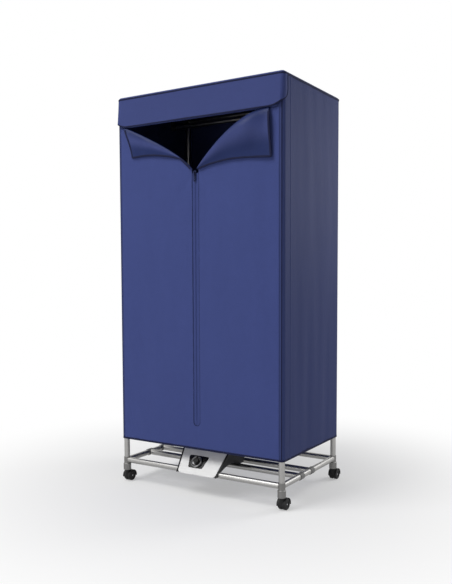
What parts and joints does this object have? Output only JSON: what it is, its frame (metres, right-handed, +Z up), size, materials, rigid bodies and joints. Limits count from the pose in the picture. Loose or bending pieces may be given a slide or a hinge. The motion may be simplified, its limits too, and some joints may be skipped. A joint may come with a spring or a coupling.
{
  "type": "drying cabinet",
  "caption": "Portable clothes-drying cabinet: steel tube frame on castors, zipped cloth cover with turned-out lapels, and a fan heater with a timer dial on its base rails.",
  "frame": {"origin": "on the floor, under the middle of the four posts", "axes": "-Y is the zipped front, +X the right-hand side seen from the front, +Z up"},
  "size_m": [0.7272, 0.5196, 1.5],
  "materials": {
    "stainless": "polished tube with a fine drawn grain",
    "sleeve_steel": "pressed and zinc-plated, satin",
    "fitting_plastic": "satin injection moulding",
    "grey_plastic": "satin injection moulding",
    "wheel_plastic": "hard nylon tread, slightly worn",
    "axle_steel": "turned",
    "cover_cloth": "coated woven cloth, soft sheen",
    "zip_tape": "woven tape with a coil of teeth",
    "zip_metal": "plated die casting",
    "heater_black": "fine-grained moulding",
    "heater_silver": "silver-painted moulding, satin",
    "dial_chrome": "plated plastic ring",
    "timer_white": "moulded switch case",
    "fan_plastic": "glass-filled moulding",
    "element_alloy": "finned heater block",
    "gland_rubber": "moulded strain relief"
  },
  "bodies": {
    "cabinet": {"post_front_left": "stainless", "post_front_right": "stainless", "post_back_left": "stainless", "post_back_right": "stainless", "base_rail_front": "stainless", "base_rail_back": "stainless", "base_rail_left": "stainless", "base_rail_right": "stainless", "top_rail_front": "stainless", "top_rail_back": "stainless", "top_rail_left": "stainless", "top_rail_right": "stainless", "cross_rail_front": "stainless", "cross_rail_rear": "stainless", "mid_rail_left": "stainless", "mid_rail_right": "stainless", "hanging_rods_lower": "stainless", "hanging_rods_upper": "stainless", "foot_sleeves": "sleeve_steel", "corner_blocks": "fitting_plastic", "tee_clamps": "fitting_plastic", "rod_hangers": "fitting_plastic", "cover_top": "cover_cloth", "cover_left_side": "cover_cloth", "cover_right_side": "cover_cloth", "cover_back": "cover_cloth", "cover_front_bands": "cover_cloth", "cover_floor": "cover_cloth", "cover_valance": "cover_cloth", "heater_casing": "heater_black", "heater_base_plate": "heater_black", "outlet_duct": "heater_black", "outlet_grille": "heater_black", "panel_insert": "heater_black", "fan_motor": "heater_black", "heater_panel": "heater_silver", "timer": "timer_white", "heating_element": "element_alloy", "cable_gland": "gland_rubber"},
    "left_front": {"left_leaf": "cover_cloth", "zip_left_half": "zip_tape"},
    "right_front": {"right_leaf": "cover_cloth", "zip_right_half": "zip_tape"},
    "zip_slider": {"zip_slider": "zip_metal"},
    "pull_tab": {"zip_pull_tab": "zip_metal"},
    "timer_dial": {"dial_ring": "dial_chrome", "dial_grip": "heater_black"},
    "fan": {"fan": "fan_plastic"},
    "castor_fl": {"castor_hood_front_left": "grey_plastic", "castor_axle_front_left": "axle_steel"},
    "wheels_fl": {"castor_wheels_front_left": "wheel_plastic"},
    "castor_fr": {"castor_hood_front_right": "grey_plastic", "castor_axle_front_right": "axle_steel"},
    "wheels_fr": {"castor_wheels_front_right": "wheel_plastic"},
    "castor_bl": {"castor_hood_back_left": "grey_plastic", "castor_axle_back_left": "axle_steel"},
    "wheels_bl": {"castor_wheels_back_left": "wheel_plastic"},
    "castor_br": {"castor_hood_back_right": "grey_plastic", "castor_axle_back_right": "axle_steel"},
    "wheels_br": {"castor_wheels_back_right": "wheel_plastic"}
  },
  "joints": [
    {"name": "left_leaf_swing", "type": "hinge", "parent": "cabinet", "child": "left_front", "pos_m": [-0.347, -0.22, 0.83], "axis": [0, 0, -1], "range_deg": [0, 105]},
    {"name": "right_leaf_swing", "type": "hinge", "parent": "cabinet", "child": "right_front", "pos_m": [0.347, -0.22, 0.83], "axis": [0, 0, 1], "range_deg": [0, 105]},
    {"name": "zip_slide", "type": "slide", "parent": "cabinet", "child": "zip_slider", "axis": [0, 0, 1], "range_m": [-0.895, 0]},
    {"name": "pull_tab_swing", "type": "hinge", "parent": "zip_slider", "child": "pull_tab", "pos_m": [0, -0.2374, 1.19025], "axis": [-1, 0, 0], "range_deg": [0, 150]},
    {"name": "timer_turn", "type": "hinge", "parent": "cabinet", "child": "timer_dial", "pos_m": [-0.015, -0.21057, 0.11808], "axis": [0, 0.7466, -0.6652], "range_deg": [0, 300]},
    {"name": "fan_spin", "type": "hinge", "parent": "cabinet", "child": "fan", "pos_m": [0, -0.102, 0.1415], "axis": [0, 0, 1], "continuous": true},
    {"name": "castor_swivel_fl", "type": "hinge", "parent": "cabinet", "child": "castor_fl", "pos_m": [-0.347, -0.22, 0.046], "axis": [0, 0, 1], "continuous": true},
    {"name": "wheel_roll_fl", "type": "hinge", "parent": "castor_fl", "child": "wheels_fl", "pos_m": [-0.347, -0.205, 0.02], "axis": [1, 0, 0], "continuous": true},
    {"name": "castor_swivel_fr", "type": "hinge", "parent": "cabinet", "child": "castor_fr", "pos_m": [0.347, -0.22, 0.046], "axis": [0, 0, 1], "continuous": true},
    {"name": "wheel_roll_fr", "type": "hinge", "parent": "castor_fr", "child": "wheels_fr", "pos_m": [0.347, -0.205, 0.02], "axis": [1, 0, 0], "continuous": true},
    {"name": "castor_swivel_bl", "type": "hinge", "parent": "cabinet", "child": "castor_bl", "pos_m": [-0.347, 0.22, 0.046], "axis": [0, 0, 1], "continuous": true},
    {"name": "wheel_roll_bl", "type": "hinge", "parent": "castor_bl", "child": "wheels_bl", "pos_m": [-0.347, 0.235, 0.02], "axis": [1, 0, 0], "continuous": true},
    {"name": "castor_swivel_br", "type": "hinge", "parent": "cabinet", "child": "castor_br", "pos_m": [0.347, 0.22, 0.046], "axis": [0, 0, 1], "continuous": true},
    {"name": "wheel_roll_br", "type": "hinge", "parent": "castor_br", "child": "wheels_br", "pos_m": [0.347, 0.235, 0.02], "axis": [1, 0, 0], "continuous": true}
  ]
}
